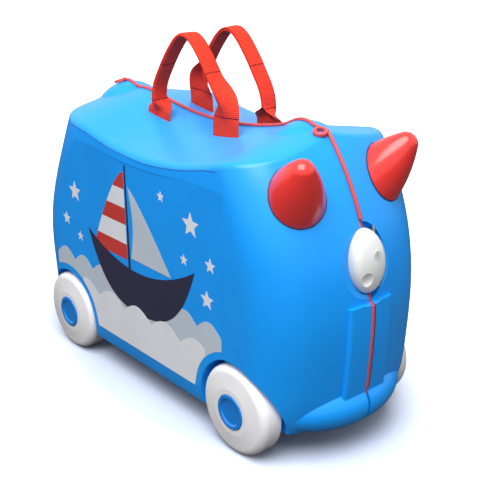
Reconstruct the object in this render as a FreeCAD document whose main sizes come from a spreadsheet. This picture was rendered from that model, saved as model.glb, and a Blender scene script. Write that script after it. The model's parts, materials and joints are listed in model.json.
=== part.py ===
import FreeCAD, Part
import math
import os
import Sketcher
from FreeCAD import Placement, Rotation, Vector

# Ride-on suitcase: two moulded halves hinged under the belly, on four wheels.
# X runs along the seam to the horns, Y across it, Z up; the floor is z = 0.
# Left and right are as seen from the front: the left half lies at negative Y and carries
# the seal, the tow loops and the keepers.

doc = FreeCAD.newDocument("RideOnSuitcase")
sheet = doc.addObject("Spreadsheet::Sheet", "Sizes")

SIZES = {
    # moulded case
    "body_front": 230.0,
    "body_rear": 230.0,
    "half_width": 99.0,
    "body_bottom": 31.0,
    "body_top": 310.0,
    "front_corner": 54.0,
    "rear_corner": 82.0,
    "front_bulge": 190.0,
    "rear_bulge": 120.0,
    "wall": 3.0,
    "seam_gap": 3.0,
    "crease_fillet": 7.0,
    # saddle cut through the top
    "saddle_low": 281.0,
    "saddle_middle": 8.0,
    "saddle_radius": 420.0,
    "saddle_front": 124.0,
    "saddle_rear": 80.0,
    "brow_front_radius": 95.0,
    "brow_rear_radius": 150.0,
    "brow_fall": 20.0,
    # raised rims at the ends of the saddle
    "rim_length": 36.0,
    "rim_width": 45.0,
    "rim_thick": 44.0,
    "front_rim_place": 141.0,
    "front_rim_top": 304.0,
    "rear_rim_place": 143.0,
    "rear_rim_top": 297.0,
    # recessed side panel
    "panel_depth": 1.6,
    "panel_front": 142.0,
    "panel_rear": 168.0,
    "panel_under_crease": 11.0,
    "panel_corner": 14.0,
    "panel_top_radius": 520.0,
    # ribs beside the lower seam
    "rib_rise": 4.0,
    "rib_round": 3.5,
    "rib_width": 26.0,
    "rib_flare": 4.0,
    "rib_top": 154.0,
    "rib_bottom": 52.0,
    # chin bumper
    "chin_front": 234.0,
    "chin_level": 48.0,
    "chin_depth": 25.0,
    "chin_rise": 23.0,
    "chin_bend": 100.0,
    "chin_notch_radius": 30.0,
    "chin_notch_depth": 7.0,
    # wheels and axles
    "wheel_radius": 45.0,
    "wheel_width": 26.0,
    "wheel_face": 101.5,
    "front_wheel_place": 152.0,
    "rear_wheel_place": 139.0,
    "wheel_shoulder": 8.0,
    "wheel_inner_edge": 3.0,
    "wheel_dish": 10.0,
    "wheel_hub_radius": 14.0,
    "wheel_rim_depth": 9.0,
    "wheel_crown": 3.0,
    "wheel_face_ring": 5.0,
    "arch_gap": 5.0,
    "arch_depth": 4.0,
    "axle_radius": 4.0,
    "axle_head_radius": 7.0,
    "axle_head": 3.0,
    "boss_radius": 11.0,
    "boss_length": 9.0,
    "clip_radius": 9.0,
    "clip_thick": 2.0,
    "axle_tail": 1.0,
    "cap_radius": 17.5,
    "cap_seat": 5.0,
    "cap_proud": 1.0,
    "cap_dish": 1.6,
    "cap_rim": 3.5,
    "cap_edge_round": 0.8,
    # horns
    "horn_place": 181.0,
    "horn_aside": 50.4,
    "horn_level": 247.6,
    "horn_base_radius": 28.6,
    "horn_tip_radius": 11.5,
    "horn_length": 46.0,
    "horn_flank": 150.0,
    "horn_peg_radius": 7.7,
    "horn_peg_depth": 2.0,
    "horn_screw_head": 9.0,
    "horn_screw_thick": 3.0,
    "horn_screw_radius": 2.0,
    "horn_screw_length": 16.0,
    # hinge
    "hinge_level": 21.0,
    "hinge_half_length": 110.0,
    "leaf_thick": 3.0,
    "leaf_inner": 2.5,
    "leaf_outer": 24.0,
    "knuckle_radius": 5.5,
    "knuckle_gap": 0.4,
    "hinge_pin_radius": 2.0,
    "hinge_pin_end": 2.0,
    "leaf_screw_radius": 3.5,
    "leaf_screw_head": 1.6,
    "leaf_screw_shank": 1.6,
    # catches
    "catch_level": 192.0,
    "catch_height": 60.0,
    "catch_width": 39.0,
    "front_catch_seat": 223.5,
    "rear_catch_seat": 215.0,
    "catch_proud": 10.0,
    "catch_crown_radius": 60.0,
    "catch_rim_round": 8.0,
    "catch_back": 6.5,
    "catch_floor": 9.0,
    "catch_margin": 1.0,
    "catch_swing_room": 5.6,
    "dish_height": 42.0,
    "dish_width": 40.0,
    "dish_bend": 10.0,
    "dish_depth": 5.0,
    "catch_pin_aside": 16.5,
    "catch_pin_depth": 4.5,
    "catch_pin_radius": 1.5,
    "catch_pin_hold": 2.5,
    "scoop_radius": 12.0,
    "scoop_depth": 3.5,
    "scoop_back": 2.0,
    "scoop_aside": 11.0,
    "scoop_below": 17.0,
    "keeper_width": 6.0,
    "keeper_height": 14.0,
    "keeper_aside": 9.0,
    "keeper_rise": 5.0,
    "keeper_room": 3.0,
    "keeper_head_room": 1.5,
    "keeper_round": 1.5,
    "lock_radius": 4.5,
    "lock_aside": 4.0,
    "lock_above": 5.0,
    "lock_back_room": 1.0,
    "key_slot_width": 1.4,
    "key_slot_length": 6.0,
    "key_slot_depth": 3.0,
    # webbing handles
    "handle_middle": 7.5,
    "handle_half_span": 54.5,
    "handle_aside": 28.0,
    "handle_pivot": 284.0,
    "handle_top": 369.0,
    "webbing_width": 38.0,
    "webbing_thick": 3.0,
    "grip_width": 19.0,
    "grip_thick": 5.0,
    "anchor_level": 266.5,
    "anchor_radius": 3.0,
    "anchor_overhang": 4.0,
    # tow loops
    "loop_radius": 7.0,
    "loop_bore": 3.6,
    "loop_thick": 3.2,
    "loop_edge": 1.2,
    "loop_aside": 6.0,
    "front_loop_sink": 3.7,
    "front_loop_shift": 27.0,
    "rear_loop_sink": -0.2,
    "rear_loop_shift": 9.0,
    "loop_foot": 5.0,
    "loop_foot_width": 7.0,
    # clearances
    "running_gap": 0.06,
    "seat_gap": 0.3,
    "seal_gap": 0.3,
    "overrun": 20.0,
}

# Plan of the case at rising levels, as shares of the sizes that each row follows.
LEVEL_SHARES = (0.0, 0.07, 0.20, 0.40, 0.60, 0.80, 0.90, 1.0)
FRONT_SHARES = (0.930, 0.965, 0.987, 0.998, 0.967, 0.874, 0.800, 0.695)
REAR_SHARES = (0.930, 0.965, 0.990, 0.998, 0.925, 0.805, 0.745, 0.650)
WIDTH_SHARES = (0.955, 0.985, 0.995, 1.0, 1.0, 0.985, 0.950, 0.880)
FRONT_CORNER_SHARES = (0.85, 0.96, 1.0, 1.0, 0.97, 0.90, 0.82, 0.74)
REAR_CORNER_SHARES = (0.74, 0.83, 0.90, 0.97, 1.02, 1.0, 0.95, 0.88)

# Half of a webbing handle from its foot to its crown.
ARCH_SPAN_SHARES = (1.0, 1.0, 0.99, 0.95, 0.87, 0.76, 0.64, 0.53, 0.41, 0.28, 0.13, 0.0)
ARCH_RISE_SHARES = (0.0, 0.10, 0.20, 0.31, 0.42, 0.53, 0.64, 0.735, 0.83, 0.915, 0.98, 1.0)
ARCH_FOLD_SHARES = (0.0, 0.0, 0.15, 0.40, 0.70, 0.92, 1.0, 1.0, 1.0, 1.0, 1.0, 1.0)

# Chin bumper from the seam outwards: turn along its bend, and fullness.
CHIN_SWEEP_DEGREES = 56.0
CHIN_TURN_SHARES = (0.0, 0.33, 0.66, 1.0)
CHIN_FULL_SHARES = (1.0, 0.97, 0.80, 0.40)

HORN_DIRECTION_SHARES = (0.551, -0.300, 0.780)
# Axis of each tow loop, square to the deck beside the seam.
LOOP_AXIS_SHARES = {"front": (0.25, -0.20, 0.95), "rear": (-0.31, -0.14, 0.94)}
# Lean of the case behind each catch.
CATCH_TILT_DEGREES = {"front": 10.0, "rear": 20.0}

KNUCKLES = 5
LEAF_SCREWS = 4

for row, (alias, value) in enumerate(SIZES.items(), start=1):
    sheet.set(f"A{row}", alias)
    sheet.set(f"B{row}", str(value))
    sheet.setAlias(f"B{row}", alias)
doc.recompute()


class Size:
    """A length together with the sheet formula that gives it."""

    def __init__(self, value, formula):
        self.value = value
        self.formula = formula

    def __add__(self, other):
        return Size(self.value + other.value, f"({self.formula} + {other.formula})")

    def __sub__(self, other):
        return Size(self.value - other.value, f"({self.formula} - {other.formula})")

    def __mul__(self, share):
        return Size(self.value * share, f"({self.formula} * {share})")

    def __truediv__(self, count):
        return Size(self.value / count, f"({self.formula} / {count})")

    def __neg__(self):
        return Size(-self.value, f"(0 - {self.formula})")

    def __float__(self):
        return self.value


def size(alias):
    return Size(float(sheet.get(alias)), f"Sizes.{alias}")


ZERO = Size(0.0, "0")


def bind(thing, **formulas):
    for name, length in formulas.items():
        thing.setExpression(name, length.formula)
    return thing


def place(thing, x=ZERO, y=ZERO, z=ZERO, rotation=None):
    thing.Placement = Placement(Vector(x.value, y.value, z.value), rotation or Rotation())
    for axis, length in (("x", x), ("y", y), ("z", z)):
        if length is not ZERO:
            thing.setExpression(f"Placement.Base.{axis}", length.formula)
    return thing


TO_LEFT = Rotation(Vector(1, 0, 0), 90)
TO_FRONT = Rotation(Vector(0, 1, 0), 90)
UPRIGHT = Rotation(Vector(1, 0, 0), 90)


def cylinder(name, radius, length, x=ZERO, y=ZERO, z=ZERO, rotation=None):
    rod = bind(doc.addObject("Part::Cylinder", name), Radius=radius, Height=length)
    return place(rod, x, y, z, rotation)


def box(name, low, high):
    block = doc.addObject("Part::Box", name)
    spans = [top - bottom for bottom, top in zip(low, high)]
    bind(block, Length=spans[0], Width=spans[1], Height=spans[2])
    return place(block, *low)


def cut(name, base, *tools):
    result = base
    for count, tool in enumerate(tools):
        step = doc.addObject("Part::Cut", f"{name}_cut{count}" if tool is not tools[-1] else name)
        step.Base = result
        step.Tool = tool
        result = step
    return result


def fuse(name, *shapes):
    joined = doc.addObject("Part::MultiFuse", name)
    joined.Shapes = list(shapes)
    joined.Refine = True
    return joined


def common(name, first, second):
    shared = doc.addObject("Part::Common", name)
    shared.Base = first
    shared.Tool = second
    return shared


def mirrored(name, source):
    twin = doc.addObject("Part::Mirroring", name)
    twin.Source = source
    twin.Normal = Vector(0, 1, 0)
    return twin


def fillet(name, base, radius, edge_numbers):
    rounded = doc.addObject("Part::Fillet", name)
    rounded.Base = base
    rounded.Edges = [(number, radius.value, radius.value) for number in edge_numbers]
    return rounded


def pin_down(sketch, geometry, point, x, y):
    """Holds one point of a sketch at a place that the sheet gives."""
    for kind, axis, length in (("DistanceX", -2, x), ("DistanceY", -1, y)):
        if length is ZERO:
            sketch.addConstraint(Sketcher.Constraint("PointOnObject", geometry, point, axis))
        else:
            number = sketch.addConstraint(
                Sketcher.Constraint(kind, -1, 1, geometry, point, length.value))
            sketch.setExpression(f"Constraints[{number}]", length.formula)


def hold_radius(sketch, geometry, radius):
    number = sketch.addConstraint(Sketcher.Constraint("Radius", geometry, radius.value))
    sketch.setExpression(f"Constraints[{number}]", radius.formula)


def outline(sketch, corners):
    """Closed outline of straight runs between corners given as sheet lengths."""
    points = [Vector(x.value, y.value, 0) for x, y in corners]
    for start, end in zip(points, points[1:] + points[:1]):
        sketch.addGeometry(Part.LineSegment(start, end))
    for number, (x, y) in enumerate(corners):
        follower = (number + 1) % len(corners)
        sketch.addConstraint(Sketcher.Constraint("Coincident", number, 2, follower, 1))
        pin_down(sketch, number, 1, x, y)


def arc(centre, radius, start, end):
    circle = Part.Circle(centre, Vector(0, 0, 1), radius)
    return Part.ArcOfCircle(circle, start, end)


def tangent_chain(sketch, numbers):
    for first, second in zip(numbers, numbers[1:]):
        sketch.addConstraint(Sketcher.Constraint("Tangent", first, 2, second, 1))


# Moulded case

def plan_section(name, rank, inset, side_inset):
    """Half plan of the case at one level: bulged ends, rounded corners and a straight side."""
    nose = size("body_front") * FRONT_SHARES[rank] - inset
    tail = size("body_rear") * REAR_SHARES[rank] - inset
    side = size("half_width") * WIDTH_SHARES[rank] - side_inset
    ends = (
        (nose, size("front_corner") * FRONT_CORNER_SHARES[rank] - inset, size("front_bulge") - inset),
        (tail, size("rear_corner") * REAR_CORNER_SHARES[rank] - inset, size("rear_bulge") - inset),
    )
    bottom = size("body_bottom") + inset
    top = size("body_top") - inset
    sketch = doc.addObject("Sketcher::SketchObject", name)
    place(sketch, z=bottom + (top - bottom) * LEVEL_SHARES[rank])

    arcs = []
    for reach, corner, bulge in ends:
        offset = side.value - corner.value
        turn = math.asin(offset / (bulge.value - corner.value))
        centre = reach.value - bulge.value
        corner_centre = centre + (bulge.value - corner.value) * math.cos(turn)
        arcs.append((centre, corner_centre, offset, turn))
    front, rear = arcs
    quarter = math.pi / 2
    sketch.addGeometry(arc(Vector(-rear[0], 0, 0), ends[1][2].value, -2 * quarter, rear[3] - 2 * quarter))
    sketch.addGeometry(arc(Vector(-rear[1], -rear[2], 0), ends[1][1].value, rear[3] - 2 * quarter, -quarter))
    sketch.addGeometry(Part.LineSegment(Vector(-rear[1], -side.value, 0), Vector(front[1], -side.value, 0)))
    sketch.addGeometry(arc(Vector(front[1], -front[2], 0), ends[0][1].value, -quarter, -front[3]))
    sketch.addGeometry(arc(Vector(front[0], 0, 0), ends[0][2].value, -front[3], 0))
    sketch.addGeometry(Part.LineSegment(Vector(nose.value, 0, 0), Vector(-tail.value, 0, 0)))

    tangent_chain(sketch, range(5))
    sketch.addConstraint(Sketcher.Constraint("Coincident", 4, 2, 5, 1))
    sketch.addConstraint(Sketcher.Constraint("Coincident", 5, 2, 0, 1))
    for bulge in (0, 4):
        sketch.addConstraint(Sketcher.Constraint("PointOnObject", bulge, 3, -1))
    pin_down(sketch, 5, 1, nose, ZERO)
    pin_down(sketch, 5, 2, -tail, ZERO)
    sketch.addConstraint(Sketcher.Constraint("Horizontal", 2))
    number = sketch.addConstraint(Sketcher.Constraint("DistanceY", -1, 1, 2, 1, -side.value))
    sketch.setExpression(f"Constraints[{number}]", (-side).formula)
    for geometry, radius in ((0, ends[1][2]), (1, ends[1][1]), (3, ends[0][1]), (4, ends[0][2])):
        hold_radius(sketch, geometry, radius)
    return sketch


def saddle_cutter(name, inset):
    """Everything above the saddle: a tangent run of three arcs, falling from the seam to the side."""
    middle = size("saddle_middle")
    radius = size("saddle_radius") + inset
    low = size("saddle_low") - inset
    centre_z = low.value + radius.value
    sketch = doc.addObject("Sketcher::SketchObject", f"{name}_profile")
    sketch.Placement = Placement(Vector(), UPRIGHT)

    def brow(reach, brow_radius):
        lean = math.asin(reach / radius.value)
        joint = Vector(math.sin(lean), -math.cos(lean), 0)
        pull = radius.value + brow_radius.value
        return lean, joint * pull

    front_radius = size("brow_front_radius") - inset
    rear_radius = size("brow_rear_radius") - inset
    front_lean, front_pull = brow((size("saddle_front") - middle).value, front_radius)
    rear_lean, rear_pull = brow((size("saddle_rear") + middle).value, rear_radius)
    saddle_centre = Vector(middle.value, centre_z, 0)
    front_centre = saddle_centre + front_pull
    rear_centre = saddle_centre + Vector(-rear_pull.x, rear_pull.y, 0)
    quarter = math.pi / 2
    slope = quarter / 2
    sketch.addGeometry(arc(rear_centre, rear_radius.value, quarter - rear_lean, quarter + slope))
    sketch.addGeometry(arc(saddle_centre, radius.value, -quarter - rear_lean, -quarter + front_lean))
    sketch.addGeometry(arc(front_centre, front_radius.value, quarter - slope, quarter + front_lean))
    rear_end = rear_centre + Vector(-math.cos(slope), math.sin(slope), 0) * rear_radius.value
    front_end = front_centre + Vector(math.cos(slope), math.sin(slope), 0) * front_radius.value
    ceiling = size("body_top") + size("overrun")
    over_front = Vector(front_end.x, ceiling.value, 0)
    over_rear = Vector(rear_end.x, ceiling.value, 0)
    corners = [front_end, over_front, over_rear, rear_end]
    for start, end in zip(corners, corners[1:]):
        sketch.addGeometry(Part.LineSegment(start, end))
    for link in ((0, 1, 1, 1), (1, 2, 2, 2)):
        sketch.addConstraint(Sketcher.Constraint("Tangent", *link))
    for link in ((2, 1, 3, 1), (3, 2, 4, 1), (4, 2, 5, 1), (5, 2, 0, 2)):
        sketch.addConstraint(Sketcher.Constraint("Coincident", *link))
    for wall in (3, 5):
        sketch.addConstraint(Sketcher.Constraint("Vertical", wall))
    sketch.addConstraint(Sketcher.Constraint("Horizontal", 4))
    for geometry, length in ((0, rear_radius), (1, radius), (2, front_radius)):
        hold_radius(sketch, geometry, length)
    pin_down(sketch, 1, 3, middle, low + radius)

    solid = doc.addObject("Part::Extrusion", name)
    solid.Base = sketch
    solid.DirMode = "Custom"
    solid.Dir = Vector(0, -size("half_width").value, -size("brow_fall").value)
    bind(solid, **{"Dir.y": -size("half_width"), "Dir.z": -size("brow_fall")})
    solid.LengthFwd = (size("half_width") + size("overrun")).value
    bind(solid, LengthFwd=size("half_width") + size("overrun"))
    solid.Solid = True
    return solid


def case_block(name, inset, side_inset=None):
    """Solid half of the case, drawn in by an inset on every side but the seam."""
    loft = doc.addObject("Part::Loft", f"{name}_loft")
    loft.Sections = [
        plan_section(f"{name}_plan{rank}", rank, inset, side_inset or inset)
        for rank in range(len(LEVEL_SHARES))
    ]
    loft.Solid = True
    return cut(name, loft, saddle_cutter(f"{name}_saddle", inset))


def crease_edges(shape):
    """Numbers of the edges where the saddle meets the sides and ends of the case."""
    numbers = []
    for number, edge in enumerate(shape.Edges, start=1):
        faces = shape.ancestorsOfType(edge, Part.Face)
        kinds = [isinstance(face.Surface, Part.BSplineSurface) for face in faces]
        if len(faces) == 2 and any(kinds) and not all(kinds) and edge.BoundBox.ZMin > size("rib_top").value:
            on_seam = edge.BoundBox.YMax - edge.BoundBox.YMin < size("seam_gap").value
            on_seam = on_seam and abs(edge.CenterOfMass.y) < size("seam_gap").value
            if not on_seam:
                numbers.append(number)
    return numbers


def at_catch(end, thing):
    """Moves a thing from the catch's own frame, X outwards, to its seat on the front or rear."""
    place(thing, x=size(f"{end}_catch_seat"), z=size("catch_level"),
          rotation=Rotation(Vector(0, 1, 0), -CATCH_TILT_DEGREES[end]))
    return to_rear(f"{thing.Name}_rear", thing) if end == "rear" else thing


def oval_column(name, margin, start, length):
    """Oval as large as a catch and a margin round it, drawn outwards from a depth."""
    rim = doc.addObject("Part::Ellipse", f"{name}_rim")
    bind(rim, MajorRadius=size("catch_height") / 2 + margin, MinorRadius=size("catch_width") / 2 + margin)
    place(rim, x=start, rotation=Rotation(Vector(0, 1, 0), -90))
    column = doc.addObject("Part::Extrusion", name)
    column.Base = rim
    column.DirMode = "Custom"
    column.Dir = Vector(1, 0, 0)
    column.LengthFwd = length.value
    bind(column, LengthFwd=length)
    column.Solid = True
    return column


def catch_pocket(name, end, margin, depth):
    return at_catch(end, oval_column(f"{end}_{name}", margin, -depth, depth + size("overrun")))


def catch_dish(end):
    """Soft hollow round a catch, where fingers reach behind it."""
    hollow = doc.addObject("Part::Ellipsoid", f"{end}_catch_dish")
    bind(hollow, Radius1=size("dish_height"), Radius2=size("dish_bend"), Radius3=size("dish_width"))
    place(hollow, x=size("dish_bend") - size("dish_depth"))
    tray = doc.addObject("Part::Compound", f"{end}_catch_tray")
    tray.Links = [hollow]
    return at_catch(end, tray)


def to_rear(name, source):
    twin = doc.addObject("Part::Mirroring", name)
    twin.Source = source
    twin.Normal = Vector(1, 0, 0)
    return twin


def chin():
    """One half of the bumper under the nose: ovals along a bend, shrinking away from the seam."""
    stations = []
    bend = size("chin_bend")
    hub = size("chin_front") - size("chin_depth") - bend
    for number, (turn, full) in enumerate(zip(CHIN_TURN_SHARES, CHIN_FULL_SHARES)):
        angle = CHIN_SWEEP_DEGREES * turn
        oval = doc.addObject("Part::Ellipse", f"chin_oval{number}")
        bind(oval, MajorRadius=size("chin_depth") * full, MinorRadius=size("chin_rise") * full)
        cosine = math.cos(math.radians(angle))
        sine = math.sin(math.radians(angle))
        facing = Rotation(Vector(0, 0, 1), -angle).multiply(TO_LEFT)
        place(oval, hub + bend * cosine, bend * -sine, size("chin_level"), facing)
        stations.append(oval)
    lobe = doc.addObject("Part::Loft", "chin_lobe")
    lobe.Sections = stations
    lobe.Solid = True
    notch_low = size("chin_level") + size("chin_rise") - size("chin_notch_depth")
    notch_radius = size("chin_notch_radius")
    notch = cylinder("chin_notch", notch_radius, size("chin_depth") * 2,
                     size("chin_front") - size("chin_depth"), ZERO, notch_low + notch_radius, TO_FRONT)
    return cut("chin", lobe, notch)


def soften_rib(rib):
    """Rounds the edges of a rib's outer face, away from the seam."""
    doc.recompute()
    edges = []
    for number, edge in enumerate(rib.Shape.Edges, start=1):
        box_of = edge.BoundBox
        outer = abs(edge.CenterOfMass.x) > size("body_front").value * FRONT_SHARES[-2]
        upright = box_of.ZLength > size("rib_width").value and box_of.YMax < -size("rib_width").value / 2
        if outer and upright:
            edges.append(number)
    return fillet(f"{rib.Name}_soft", rib, size("rib_round"), edges)


def seam_ribs():
    """Raised bands beside the lower seam, front and rear, with sloping outer sides."""
    shell = case_block("rib_block", -size("rib_rise"))
    sketch = doc.addObject("Sketcher::SketchObject", "rib_plan")
    far = size("body_front") + size("overrun")
    near = size("body_front") - size("front_corner")
    width = size("rib_width")
    outline(sketch, [(far, ZERO), (near, ZERO), (near, -width - size("rib_flare")), (far, -width)])
    place(sketch, z=size("rib_bottom"))
    band = doc.addObject("Part::Extrusion", "rib_band")
    band.Base = sketch
    band.DirMode = "Custom"
    band.Dir = Vector(0, 0, 1)
    band.LengthFwd = (size("rib_top") - size("rib_bottom")).value
    bind(band, LengthFwd=size("rib_top") - size("rib_bottom"))
    band.Solid = True
    ribs = common("front_rib", band, shell), common("rear_rib", to_rear("rear_band", band), shell)
    return [soften_rib(rib) for rib in ribs]


def saddle_rim(name, centre, top):
    """Raised swelling that ends the saddle."""
    swelling = doc.addObject("Part::Ellipsoid", name)
    bind(swelling, Radius1=size("rim_thick"), Radius2=size("rim_length"), Radius3=size("rim_width"))
    return place(swelling, x=centre, z=top - size("rim_thick"))


def panel_cutter():
    """Shallow recess that leaves the side flat, under a top edge that follows the saddle."""
    low = size("body_bottom") - size("overrun")
    middle = size("saddle_middle")
    radius = size("panel_top_radius")
    crown = size("saddle_low") - size("brow_fall") - size("panel_under_crease")
    front = size("panel_front")
    rear = size("panel_rear")
    centre = Vector(middle.value, (crown + radius).value, 0)
    sketch = doc.addObject("Sketcher::SketchObject", "panel_outline")
    place(sketch, y=size("panel_depth") - size("half_width"), rotation=UPRIGHT)
    angles = [-math.acos((reach - middle.value) / radius.value) for reach in (-rear.value, front.value)]
    top = arc(centre, radius.value, *angles)
    under_rear = Vector(-rear.value, low.value, 0)
    under_front = Vector(front.value, low.value, 0)
    corners = [top.StartPoint, under_rear, under_front, top.EndPoint]
    sketch.addGeometry(top)
    for start, end in zip(corners, corners[1:]):
        sketch.addGeometry(Part.LineSegment(start, end))
    for link in ((0, 1, 1, 1), (1, 2, 2, 1), (2, 2, 3, 1), (3, 2, 0, 2)):
        sketch.addConstraint(Sketcher.Constraint("Coincident", *link))
    for wall in (1, 3):
        sketch.addConstraint(Sketcher.Constraint("Vertical", wall))
    pin_down(sketch, 2, 1, -rear, low)
    pin_down(sketch, 2, 2, front, low)
    hold_radius(sketch, 0, radius)
    pin_down(sketch, 0, 3, middle, crown + radius)
    slab = doc.addObject("Part::Extrusion", "panel_slab")
    slab.Base = sketch
    slab.DirMode = "Normal"
    slab.LengthFwd = size("overrun").value
    bind(slab, LengthFwd=size("overrun"))
    slab.Solid = True
    doc.recompute()
    short = size("panel_depth").value
    top_corners = [
        number for number, edge in enumerate(slab.Shape.Edges, start=1)
        if edge.BoundBox.ZMin > size("catch_level").value
        and edge.BoundBox.ZLength < short and edge.BoundBox.XLength < short
    ]
    return fillet("panel_cutter", slab, size("panel_corner"), top_corners)


# Places that several pieces share

WHEEL_PLACES = {"front": size("front_wheel_place"), "rear": -size("rear_wheel_place")}
wheel_inner = size("wheel_face") - size("wheel_width")
arch_floor = wheel_inner - size("arch_depth")
boss_end = arch_floor - size("boss_length")


def handle_foot_places():
    middle = size("handle_middle")
    span = size("handle_half_span")
    return {"front": middle + span, "rear": middle - span}


def horn_axis_point(distance):
    """Point on the left horn's axis at a distance from its base centre."""
    base = (size("horn_place"), -size("horn_aside"), size("horn_level"))
    length = math.sqrt(sum(part * part for part in HORN_DIRECTION_SHARES))
    return [start + distance * (part / length) for start, part in zip(base, HORN_DIRECTION_SHARES)]


ALONG_HORN = Rotation(Vector(0, 0, 1), Vector(*HORN_DIRECTION_SHARES))
EGG_TO_HORN = Rotation(Vector(1, 0, 0), Vector(*HORN_DIRECTION_SHARES))

front_loop_place = size("front_rim_place") + size("front_loop_shift")
rear_loop_place = size("rear_rim_place") + size("rear_loop_shift")
LOOP_PLACES = {
    "front": (front_loop_place, -size("loop_aside"), size("front_rim_top") - size("front_loop_sink")),
    "rear": (-rear_loop_place, -size("loop_aside"), size("rear_rim_top") - size("rear_loop_sink")),
}


def shell_core():
    """Left half of the moulded case, without the seams to its mates."""
    block = case_block("outer_block", ZERO)
    doc.recompute()
    rounded = fillet("rounded_block", block, size("crease_fillet"), crease_edges(block.Shape))
    rims = (
        saddle_rim("front_rim", size("front_rim_place"), size("front_rim_top")),
        saddle_rim("rear_rim", -size("rear_rim_place"), size("rear_rim_top")),
    )
    ceiling = size("body_top") + size("overrun")
    left_side = box("left_side",
                    (-size("body_rear") - size("overrun"), -size("half_width") - size("overrun"), ZERO),
                    (size("body_front") + size("overrun"), -size("seam_gap") / 2, ceiling))
    lumps = [cut("panelled", rounded, panel_cutter()), chin(), *seam_ribs(), *rims]
    outside = fuse("outside", *[common(f"{lump.Name}_left", lump, left_side) for lump in lumps])

    hollow = case_block("hollow_block", size("wall"), size("wall") + size("panel_depth"))
    reach = size("half_width") + size("overrun")
    arches = []
    arch_walls = []
    bosses = []
    bores = []
    for end, where in WHEEL_PLACES.items():
        arch_radius = size("wheel_radius") + size("arch_gap")
        arches.append(cylinder(f"{end}_arch", arch_radius, reach - arch_floor,
                               where, -arch_floor, size("wheel_radius"), TO_LEFT))
        arch_walls.append(cylinder(f"{end}_arch_wall", arch_radius + size("wall"), reach - arch_floor,
                                   where, -arch_floor + size("wall"), size("wheel_radius"), TO_LEFT))
        bosses.append(cylinder(f"{end}_boss", size("boss_radius"), wheel_inner - size("seat_gap") - boss_end,
                               where, -boss_end, size("wheel_radius"), TO_LEFT))
        bores.append(cylinder(f"{end}_boss_bore", size("axle_radius"), reach,
                              where, ZERO, size("wheel_radius"), TO_LEFT))
    floor = size("catch_floor")
    margin = size("catch_margin")
    pod_margin = size("catch_swing_room") + size("wall")
    pockets = [catch_pocket("catch_pocket", end, margin, floor) for end in CATCH_TILT_DEGREES]
    pods = [catch_pocket("catch_pod", end, pod_margin, floor + size("wall")) for end in CATCH_TILT_DEGREES]
    dishes = [catch_dish(end) for end in CATCH_TILT_DEGREES]
    cavity = cut("cavity", hollow, *arch_walls, *pods)

    slots = []
    for end, where in handle_foot_places().items():
        half_slot = size("webbing_width") / 2 + size("seat_gap")
        half_thick = size("webbing_thick") / 2 + size("seat_gap")
        aside = -size("handle_aside")
        slots.append(box(f"{end}_slot", (where - half_slot, aside - half_thick, size("anchor_level")),
                         (where + half_slot, aside + half_thick, size("body_top"))))
    peg_hole = cylinder("peg_hole", size("horn_peg_radius") + size("seat_gap"),
                        size("horn_peg_depth") + size("horn_length"),
                        *horn_axis_point(-size("horn_peg_depth")), ALONG_HORN)
    drilled = cut("drilled", outside, cavity, *arches, *dishes, *pockets, *slots, peg_hole)
    bossed = fuse("bossed", drilled, *bosses)
    return cut("shell_core", bossed, *bores, *leaf_screw_rods("shell_screw")), pockets


def leaf_screw_places():
    length = size("hinge_half_length")
    step = length * 2 / LEAF_SCREWS
    return [step * number + step / 2 - length for number in range(LEAF_SCREWS)]


def leaf_screw_rods(name):
    """Shanks of the hinge screws of the left half."""
    aside = -(size("leaf_inner") + size("leaf_outer")) / 2
    start = size("body_bottom") - size("leaf_thick")
    length = size("leaf_thick") + size("wall")
    return [
        cylinder(f"{name}{number}", size("leaf_screw_shank"), length, where, aside, start)
        for number, where in enumerate(leaf_screw_places())
    ]


pieces = {}


def keep(name, thing):
    thing.Label = name
    pieces[name] = thing
    return thing


core, catch_pockets = shell_core()
keep("left_shell", core)


# Seal between the rims

def seal_strip():
    """Strip in the seam gap, as wide as the rims and following the raised rims of the saddle."""
    lumps = ("outer_block", "front_rim", "rear_rim", "front_rib_soft", "rear_rib_soft")
    crown = fuse("seal_crown", *[doc.getObject(lump) for lump in lumps])
    band = cut("seal_band", crown, doc.getObject("hollow_block"))
    far = size("body_front") + size("overrun")
    width = size("seam_gap") - size("seal_gap")
    slab = box("seal_slab", (-far, -width, ZERO), (far, ZERO, size("body_top") + size("overrun")))
    strip = place(common("seal_run", band, slab), y=size("seam_gap") / 2 - size("seal_gap"))
    rooms = [loop_foot(f"{end}_foot_room", end, size("seat_gap")) for end in LOOP_PLACES]
    return cut("seal_strip", strip, *catch_pockets, *rooms)


def loop_foot(name, end, room):
    """Tongue of a tow loop in the seam, up to the middle of the tilted loop."""
    centre_x, _, centre_z = LOOP_PLACES[end]
    half = size("loop_foot_width") / 2 + room
    _, lean, upward = LOOP_AXIS_SHARES[end]
    low = (centre_x - half, -size("seam_gap") / 2, centre_z - size("loop_foot") - room)
    high = (centre_x + half, size("seam_gap") / 2 - size("seal_gap"),
            centre_z - size("loop_aside") * (lean / upward) + room)
    return box(name, low, high)


def tow_loop(end):
    """Moulded eye for a tow strap's hook, lying on the left half, with a tongue held in the seam."""
    thick = size("loop_thick")
    facing = Rotation(Vector(0, 0, 1), Vector(*LOOP_AXIS_SHARES[end]))
    disc = cylinder(f"{end}_loop_disc", size("loop_radius"), thick, z=-thick / 2)
    doc.recompute()
    rounded = fillet(f"{end}_loop_round", disc, size("loop_edge"), (1, 3))
    bore = cylinder(f"{end}_loop_bore", size("loop_bore"), thick * 2, z=-thick)
    ring = place(cut(f"{end}_loop_ring", rounded, bore), *LOOP_PLACES[end], facing)
    return fuse(f"{end}_tow_loop", ring, loop_foot(f"{end}_loop_foot", end, ZERO))


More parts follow.
